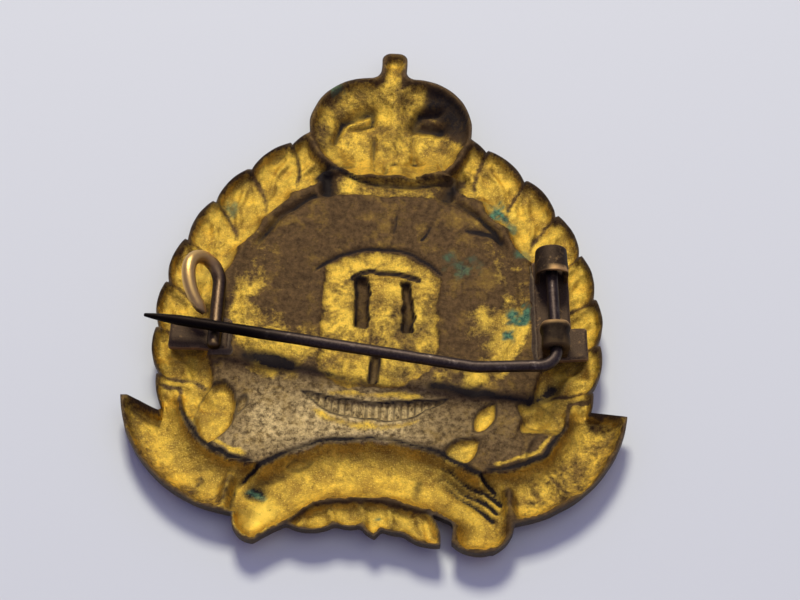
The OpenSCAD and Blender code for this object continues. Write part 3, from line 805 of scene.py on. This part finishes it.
def cut_sheet(low, high, cell, shape, back_z, front_z):
    """A grid cut to a shape and given a second side: the heights of both come from functions."""
    bm = bmesh.new()
    half_w, half_h = (high[0] - low[0]) / 2, (high[1] - low[1]) / 2
    place = Matrix.Translation(((low[0] + high[0]) / 2, (low[1] + high[1]) / 2, 0.0))
    bmesh.ops.create_grid(
        bm, x_segments=round(2 * half_w / cell), y_segments=round(2 * half_h / cell), size=1.0,
        matrix=place @ Matrix.Diagonal((half_w, half_h, 1.0, 1.0)))
    centres = np.array([face.calc_center_median()[:2] for face in bm.faces])
    outside = shape(centres[:, 0], centres[:, 1]) > 0.0
    bmesh.ops.delete(bm, geom=[f for f, out in zip(bm.faces[:], outside) if out], context="FACES")
    rim = [v for v in bm.verts if v.is_boundary]
    x, y, _ = coords(rim)
    h = 0.1 * cell
    for _ in range(5):
        gx = (shape(x + h, y) - shape(x - h, y)) / (2 * h)
        gy = (shape(x, y + h) - shape(x, y - h)) / (2 * h)
        move = np.clip(shape(x, y) / np.maximum(gx * gx + gy * gy, 0.3), -0.75 * cell, 0.75 * cell)
        x, y = x - move * gx, y - move * gy
    for v, place in zip(rim, zip(x, y)):
        v.co.xy = place
    near = {w for v in rim for e in v.link_edges for w in e.verts} - set(rim)
    near |= {w for v in near for e in v.link_edges for w in e.verts} - set(rim)
    for _ in range(3):
        bmesh.ops.smooth_vert(bm, verts=list(near), factor=0.5, use_axis_x=True, use_axis_y=True)
    back = bm.verts[:]
    grown = bmesh.ops.extrude_face_region(bm, geom=bm.faces[:], use_keep_orig=True)
    front = [g for g in grown["geom"] if isinstance(g, bmesh.types.BMVert)]
    for verts, height in ((back, back_z), (front, front_z)):
        x, y, _ = coords(verts)
        for v, z in zip(verts, height(x, y)):
            v.co.z = z
    outward(bm)
    smooth(bm)
    for e in bm.edges:
        pair = [f.normal.z for f in e.link_faces]
        if len(pair) == 2 and min(abs(z) for z in pair) < 0.35 and e.calc_face_angle(0.0) > 0.7:
            e.smooth = False
    return bm


def coords(verts):
    return np.array([v.co[:] for v in verts]).T


def arc_points(centre, along, across, r, start, stop, pieces):
    """Points on an arc in the plane of two directions, angles in degrees."""
    for k in range(pieces + 1):
        a = math.radians(start + (stop - start) * k / pieces)
        yield centre + along * (r * math.cos(a)) + across * (r * math.sin(a))


def grow(bm, edges):
    """Extrudes edges, and gives the new vertices and the new edges between them."""
    grown = bmesh.ops.extrude_edge_only(bm, edges=edges)["geom"]
    verts = {g for g in grown if isinstance(g, bmesh.types.BMVert)}
    return list(verts), [g for g in grown if isinstance(g, bmesh.types.BMEdge) and set(g.verts) <= verts]


def wire_mesh(stations):
    """A wire: one ring that is extruded from station to station, with rounded ends."""
    path = [p for p, _ in stations]
    ways = [(after - before).normalized() for before, after in zip(path[:1] + path, path[1:] + path[-1:])]
    turn = ways[0].to_track_quat("Z", "Y")
    places = []
    for k, (point, r) in enumerate(stations):
        if k:
            turn = ways[k - 1].rotation_difference(ways[k]) @ turn
        places.append((point, turn.copy(), r))

    def cap(point, turn, r, way):
        return [(point + way * r * out, turn, r * size)
                for out, size in ((0.55, 0.35), (0.42, 0.75), (0.2, 0.95))]

    places = cap(*places[0], -ways[0]) + places + cap(*places[-1], ways[-1])[::-1]
    frames = [Matrix.LocRotScale(p, q, Vector((r, r, 1.0))) for p, q, r in places]
    bm = bmesh.new()
    bmesh.ops.create_circle(bm, cap_ends=True, segments=WIRE_SIDES, radius=1.0, matrix=frames[0])
    edges = bm.edges[:]
    for before, after in zip(frames, frames[1:]):
        ring, edges = grow(bm, edges)
        bmesh.ops.transform(bm, matrix=after @ before.inverted(), verts=ring)
    bmesh.ops.contextual_create(bm, geom=edges)
    outward(bm)
    smooth(bm)
    return bm


def spun_ring(profile, steps):
    """A closed profile of (radius, along) points spun round the Y axis."""
    bm = bmesh.new()
    verts = [bm.verts.new((r, y, 0.0)) for r, y in profile]
    edges = [bm.edges.new((a, b)) for a, b in zip(verts, verts[1:] + verts[:1])]
    bmesh.ops.spin(bm, geom=verts + edges, cent=(0, 0, 0), axis=(0, 1, 0), angle=2 * math.pi,
                   steps=steps, use_merge=True, use_duplicate=False)
    bmesh.ops.remove_doubles(bm, verts=bm.verts[:], dist=1e-5)
    outward(bm)
    return bm


def add_block(bm, low, high, bevel):
    """A box with rounded edges, added to a mesh."""
    low, high = Vector(low), Vector(high)
    place = Matrix.Translation((low + high) / 2) @ Matrix.Diagonal((*(high - low), 1.0))
    made = bmesh.ops.create_cube(bm, size=1.0, matrix=place)["verts"]
    edges = {e for v in made for e in v.link_edges}
    round_edges(bm, list(edges), bevel)


def placed(name, data):
    """A new object in the scene."""
    made = bpy.data.objects.new(name, data)
    bpy.context.scene.collection.objects.link(made)
    return made


def mesh_of(name, bm):
    """A bmesh as a mesh, once it is done with."""
    mesh = bpy.data.meshes.new(name)
    bm.to_mesh(mesh)
    bm.free()
    return mesh


def finished(name, bm, body, slot_name, material, node, **masks):
    """Turns a bmesh in millimetres into a piece that rides on a body, stands for a node and keeps masks."""
    bmesh.ops.scale(bm, vec=(MM, MM, MM), verts=bm.verts[:])
    mesh = mesh_of(name, bm)
    piece = placed(name, mesh)
    mesh.materials.append(material)
    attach(piece, body)
    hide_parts(node)
    for key, values in masks.items():
        layer = mesh.attributes.new(key, "FLOAT", "POINT")
        layer.data.foreach_set("value", np.asarray(values, np.float32))


# ---- operators

class BADGE_OT_shell(bpy.types.Operator):
    """Builds the struck shell with its hollows, veins and folds"""
    bl_idname = "badge.shell"
    bl_label = "Struck shell"

    def execute(self, context):
        settings = context.scene.badge_shell
        sheet = settings.sheet / MM
        bm = cut_sheet(
            (-HALF_W - 0.6, FOOT_Y - 0.6), (HALF_W + 0.6, TOP_Y + 0.6), settings.cell / MM, outline,
            lambda x, y: BACK_Z - relief(x, y)[0],
            lambda x, y: np.maximum(BACK_Z - sheet - relief(x, y)[0], 0.02))
        x, y, _ = coords(bm.verts)
        _, gilt, groove = relief(x, y)
        finished(
            "struck_shell", bm, BADGE_BODY, "gilt_brass", shell_material(settings), "badge_shell",
            gilt=gilt, groove=groove, verdigris=verdigris(x, y), rim=step(-0.24, -0.02, outline(x, y)),
            rubbed=rubbed_mask(x, y))
        return {"FINISHED"}


def hinge_place():
    return Matrix.Translation(HINGE) @ Matrix.Rotation(math.radians(HINGE_TURN), 4, "Z")


def hinge_plate_shape(x, y):
    u, v = turned(x, y, HINGE.x, HINGE.y, HINGE_TURN)
    return np.minimum(block(u, v, *HINGE_STRIP), block(u, v, *HINGE_PAD)) + 0.06 * cloud(x, y, 1.5, 101, 2)


def catch_plate_shape(x, y):
    return block(x, y, *CATCH_STRIP) + 0.06 * cloud(x, y, 1.5, 103, 2)


def plate_top(shape):
    """The height of a plate: rounded at its edge and slightly uneven."""
    return lambda x, y: PLATE_Z - 0.16 * bump(shape(x, y), 0.14) + 0.03 * cloud(x, y, 1.1, 107)


def bead_shape(plate):
    """Solder shows only where the shell under a plate's edge is not struck too deep."""
    def shape(x, y):
        near = plate(x, y) - 0.30 + 0.34 * cloud(x, y, 1.3, 109)
        return np.maximum(near, relief(x, y)[0] - 0.55)
    return shape


def bead_top(plate):
    """Solder that climbs a plate's edge and thins out on the shell."""
    def height(x, y):
        d = plate(x, y)
        rise = 0.42 * step(0.45, -0.1, d) + 0.03 * cloud(x, y, 0.7, 113)
        return np.minimum(BACK_Z - np.minimum(relief(x, y)[0], 0.6) + 0.05 + rise, PLATE_Z - 0.12)
    return height


def bead_foot(x, y):
    return BACK_Z - np.minimum(relief(x, y)[0], 0.6) - 0.12


class BADGE_OT_plates(bpy.types.Operator):
    """Builds the two soldered plates and the solder round them"""
    bl_idname = "badge.plates"
    bl_label = "Plates and solder"

    def execute(self, context):
        s = context.scene.badge_fitting
        old = patina_material("old brass plate", times(s.patina, 1.8), s.worn, 0.6, per_mm=1.6)
        lead = patina_material("soft solder", s.solder, WORN_SOLDER, 0.6, metallic=0.7)
        for name, shape, node, bead_node in (
            ("hinge_strip", hinge_plate_shape, "hinge_plate", "hinge_solder"),
            ("catch_strip", catch_plate_shape, "catch_plate", "catch_solder"),
        ):
            low, high = (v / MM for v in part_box(node))
            low, high = (low.x - 1.0, low.y - 1.0), (high.x + 1.0, high.y + 1.0)
            plate = cut_sheet(
                low, high, PLATE_CELL, shape, plate_top(shape), lambda x, y: np.full_like(x, BACK_Z - 0.05))
            finished(name, plate, BADGE_BODY, "old_brass", old, node)
            bead = cut_sheet(low, high, BEAD_CELL, bead_shape(shape), bead_top(shape), bead_foot)
            finished(name.replace("strip", "bead"), bead, BADGE_BODY, "solder", lead, bead_node)
        return {"FINISHED"}


class BADGE_OT_knuckles(bpy.types.Operator):
    """Builds the open hood and the crimped barrel that hold the pin's axle"""
    bl_idname = "badge.knuckles"
    bl_label = "Knuckles"

    def execute(self, context):
        s = context.scene.badge_fitting
        old = patina_material("old brass knuckle", s.patina, s.worn, 0.55)
        drop = HINGE.z - PLATE_Z

        inner, outer, lip = AXLE_R + 0.06, BARREL_R, 0.13
        low, high = BARREL_Y, BARREL_Y + BARREL_L
        barrel = spun_ring([
            (inner, low + 0.05), (inner + 0.1, low), (outer - lip, low), (outer - 0.03, low + lip),
            (outer, low + 0.5), (outer - 0.05, low + 1.2), (outer - 0.06, high - 0.75),
            (outer + 0.06, high - 0.45), (outer + 0.08, high - 0.2), (outer - 0.03, high),
            (inner + 0.12, high), (inner, high - 0.06),
        ], 36)
        for v in barrel.verts:
            around = math.atan2(v.co.z, v.co.x)
            r = math.hypot(v.co.x, v.co.z)
            if r > inner + 0.2:
                flat = 1.0 - 0.05 * math.cos(4.0 * around) - 0.05 * math.exp(-((around - 1.25) / 0.16) ** 2)
                v.co.x *= flat
                v.co.z *= flat
        add_block(barrel, (-1.12, low + 0.12, -drop - 0.02), (1.12, high - 0.12, -0.66), 0.12)
        smooth(barrel)
        _, along, _ = coords(barrel.verts)
        wear = 0.9 * step(high - 0.35, high - 0.05, along)
        barrel.transform(hinge_place())
        # the barrel is darker all over apart from its top end
        finished("barrel_knuckle", barrel, BADGE_BODY, "old_brass", old, "lower_knuckle",
                 wear=wear, soot=0.5 * (1.0 - wear))

        low, high = HOOD_Y, HOOD_Y + HOOD_L
        hood = bmesh.new()
        start = hood.verts.new((-HOOD_R + HOOD_WALL / 2 + 0.1, low, -drop))
        chain = bmesh.ops.extrude_vert_indiv(hood, verts=[start])
        for v in chain["verts"]:
            v.co.z = 0.0
        bmesh.ops.spin(hood, geom=chain["verts"], cent=(0.05, 0, 0), axis=(0, 1, 0), angle=math.pi, steps=22)
        end = max(hood.verts, key=lambda v: v.co.x)
        chain = bmesh.ops.extrude_vert_indiv(hood, verts=[end])
        for v in chain["verts"]:
            v.co.z = -drop
        edges = hood.edges[:]
        for _ in range(HOOD_CUTS):
            fresh, edges = grow(hood, edges)
            bmesh.ops.translate(hood, vec=(0.0, HOOD_L / HOOD_CUTS, 0.0), verts=fresh)
        outward(hood)
        bmesh.ops.solidify(hood, geom=hood.faces[:], thickness=HOOD_WALL)
        outward(hood)
        border = [e for e in hood.edges if e.calc_face_angle(0.0) > 1.2]
        round_edges(hood, border, 0.09)
        for v in hood.verts:
            t = (v.co.y - low) / HOOD_L
            rise = max(v.co.z + 0.3, 0.0)
            v.co.y -= 0.22 * rise * (1.0 - t)
            v.co.z -= 0.16 * t * rise
            v.co.x *= 1.0 - 0.05 * t
        bore = AXLE_R + 0.05
        plug = spun_ring([(bore, high - 1.1), (PLUG_R, high - 1.1), (PLUG_R, high - 0.35),
                          (PLUG_R - 0.22, high - 0.25), (bore, high - 0.25)], 32)
        mesh = mesh_of("plug", plug)
        hood.from_mesh(mesh)
        bpy.data.meshes.remove(mesh)
        smooth(hood)
        across, along, up = coords(hood.verts)
        wear = step(low + 0.25, low - 0.15, along) * step(0.4, 1.2, up) * step(-0.6, 0.3, across)
        hood.transform(hinge_place())
        finished("hood_knuckle", hood, BADGE_BODY, "old_brass", old, "upper_knuckle", wear=wear)
        return {"FINISHED"}


class BADGE_OT_pin(bpy.types.Operator):
    """Builds the pin from one wire: axle, bend, shank, knee, stem and point"""
    bl_idname = "badge.pin"
    bl_label = "Brooch pin"

    def execute(self, context):
        s = context.scene.badge_fitting
        ex, ey = Vector((1, 0, 0)), Vector((0, 1, 0))
        top, foot = ey * AXLE_TOP, ey * AXLE_FOOT
        stations = [(top.lerp(foot, k / 12), AXLE_R) for k in range(12)]
        bend = Vector((-BEND_R, AXLE_FOOT, 0.0))
        stations += [(p, AXLE_R + 0.015) for p in arc_points(bend, ex, ey, BEND_R, 0.0, -90.0, 10)]
        knee = Vector((-BEND_R - SHANK_L, AXLE_FOOT - BEND_R + KNEE_R, 0.0))
        shank = stations[-1][0]
        knee_start = knee - ey * KNEE_R
        stations += [(shank.lerp(knee_start, k / 6), AXLE_R) for k in range(1, 6)]
        stations += [(p, AXLE_R) for p in arc_points(knee, ex, ey, KNEE_R, -90.0, -90.0 - KNEE_TURN, 6)]
        a = math.radians(KNEE_TURN)
        way = Vector((-math.cos(a), math.sin(a), 0.0))
        start = stations[-1][0]
        for k in range(1, 41):
            along = STEM_L * k / 40
            stations.append((start + way * along, AXLE_R - 0.025 * float(step(19.5, 20.5, along))))
        for t, size in ((0.2, 0.92), (0.4, 0.80), (0.6, 0.66), (0.8, 0.50), (0.93, 0.38), (1.0, 0.30)):
            stations.append((start + way * (STEM_L + POINT_L * t), AXLE_R * size))
        bm = wire_mesh(stations)
        x, y, z = coords(bm.verts)
        swell = 0.018 * cloud(x + z, y - z, 1.2, 211, 2)
        for v, d in zip(bm.verts, swell):
            v.co += v.normal * d
        bm.transform(hinge_place())
        dark = patina_material("dark pin wire", s.wire, WORN_PIN, 0.36)
        # the pin is darker towards its point
        soot = 0.95 * step(-4.0, -12.0, coords(bm.verts)[0])
        finished("pin_wire", bm, PIN_BODY, "dark_wire", dark, "brooch_pin", soot=soot)
        return {"FINISHED"}


class BADGE_OT_hook(bpy.types.Operator):
    """Builds the hook from one wire: a foot, a curl and an arc that ends in a tapered tip"""
    bl_idname = "badge.hook"
    bl_label = "Catch hook"

    def execute(self, context):
        s = context.scene.badge_fitting
        lean = math.radians(HOOK_LEAN)
        up, along = Vector((-math.sin(lean), 0.0, math.cos(lean))), Vector((0, 1, 0))
        base = Vector((CATCH_X, CATCH_Y, STRAND_Z))
        stations = [(base + along * (HOOK_FOOT + (CURL_Y - HOOK_FOOT) * k / 8), HOOK_R) for k in range(8)]
        curl = base + along * CURL_Y + up * CURL_R
        stations += [(p, HOOK_R) for p in arc_points(curl, up, along, CURL_R, 180.0, 0.0, 18)]
        arc = base + along * CURL_Y + up * (2 * CURL_R - HOOK_ARC_R)
        bow = list(arc_points(arc, up, along, HOOK_ARC_R, 0.0, -HOOK_ARC, 12))[1:]
        stations += [(p, HOOK_R * (1.0 - 0.12 * k / 12)) for k, p in enumerate(bow)]
        a = math.radians(HOOK_ARC)
        way = (up * -math.sin(a) - along * math.cos(a)).normalized()
        end = stations[-1][0]
        for t, r in ((0.35, 0.50), (0.7, 0.42), (1.0, HOOK_TIP_R)):
            stations.append((end + way * (HOOK_TIP_L * t), r))
        bm = wire_mesh(stations)
        gold = patina_material("rubbed hook wire", s.hook, WORN_HOOK, 0.30)
        _, _, z = coords(bm.verts)
        # the hook is darker low down, next to the plate
        finished("hook_wire", bm, BADGE_BODY, "hook_wire", gold, "catch_hook",
                 wear=1.1 * step(4.6, 6.0, z), soot=0.85 * step(5.2, 4.3, z))
        return {"FINISHED"}


class BADGE_OT_stage(bpy.types.Operator):
    """Lays the floor and sets the lights and the camera"""
    bl_idname = "badge.stage"
    bl_label = "Stage"

    def execute(self, context):
        s = context.scene.badge_stage
        bm = bmesh.new()
        bmesh.ops.create_grid(bm, x_segments=2, y_segments=2, size=3.0)
        floor = placed("floor", mesh_of("floor", bm))
        floor.location.z = -0.02 * MM
        f = Finish("pale floor")
        f.put(f.shader.inputs["Base Color"], s.floor)
        f.shader.inputs["Roughness"].default_value = 0.75
        f.shader.inputs["Specular IOR Level"].default_value = 0.2
        floor.data.materials.append(f.material)

        target = Vector((1.83, -1.27, 3.0)) * MM
        for name, place, size, power, colour in (
            ("key light", (-0.06, 0.40, 0.52), 0.18, s.key, (1.0, 0.975, 0.90)),
            ("top fill", (0.15, -0.10, 0.60), 0.45, s.key * 0.16, (0.97, 0.97, 1.0)),
        ):
            light = bpy.data.lights.new(name, "AREA")
            light.size, light.energy, light.color = size, power, colour
            lamp = placed(name, light)
            lamp.location = place
            lamp.rotation_euler = (target - Vector(place)).to_track_quat("-Z", "Y").to_euler()

        context.scene.view_settings.view_transform = "Standard"
        world = bpy.data.worlds.new("room")
        context.scene.world = world
        world.use_nodes = True
        sky = world.node_tree.nodes["Background"]
        sky.inputs["Color"].default_value = (0.56, 0.53, 1.20, 1.0)
        sky.inputs["Strength"].default_value = s.fill

        camera = placed("camera", bpy.data.cameras.new("camera"))
        camera.data.lens = s.lens
        camera.data.sensor_width = 36.0
        camera.data.clip_start = 0.01
        away = Vector((math.sin(s.azimuth) * math.cos(s.elevation),
                       -math.cos(s.azimuth) * math.cos(s.elevation), math.sin(s.elevation)))
        camera.location = target + away * s.distance
        camera.rotation_euler = away.to_track_quat("Z", "Y").to_euler()
        context.scene.camera = camera
        return {"FINISHED"}


class BADGE_PT_panel(bpy.types.Panel):
    """Lists the badge's parts in the sidebar"""
    bl_idname = "BADGE_PT_panel"
    bl_label = "Badge"
    bl_space_type = "VIEW_3D"
    bl_region_type = "UI"
    bl_category = "Badge"

    def draw(self, context):
        for operator in OPERATORS:
            self.layout.operator(operator.bl_idname)


OPERATORS = (BADGE_OT_shell, BADGE_OT_plates, BADGE_OT_knuckles, BADGE_OT_pin, BADGE_OT_hook, BADGE_OT_stage)
SETTINGS = (
    ("badge_shell", ShellSettings),
    ("badge_fitting", FittingSettings),
    ("badge_stage", StageSettings),
)


def register():
    for name, group in SETTINGS:
        bpy.utils.register_class(group)
        setattr(bpy.types.Scene, name, PointerProperty(type=group))
    for item in (*OPERATORS, BADGE_PT_panel):
        bpy.utils.register_class(item)


def unregister():
    for item in (BADGE_PT_panel, *reversed(OPERATORS)):
        bpy.utils.unregister_class(item)
    for name, group in reversed(SETTINGS):
        delattr(bpy.types.Scene, name)
        bpy.utils.unregister_class(group)


def main():
    register()
    bpy.ops.badge.shell()
    bpy.ops.badge.plates()
    bpy.ops.badge.knuckles()
    bpy.ops.badge.pin()
    bpy.ops.badge.hook()
    bpy.ops.badge.stage()


if __name__ == "__main__":
    main()
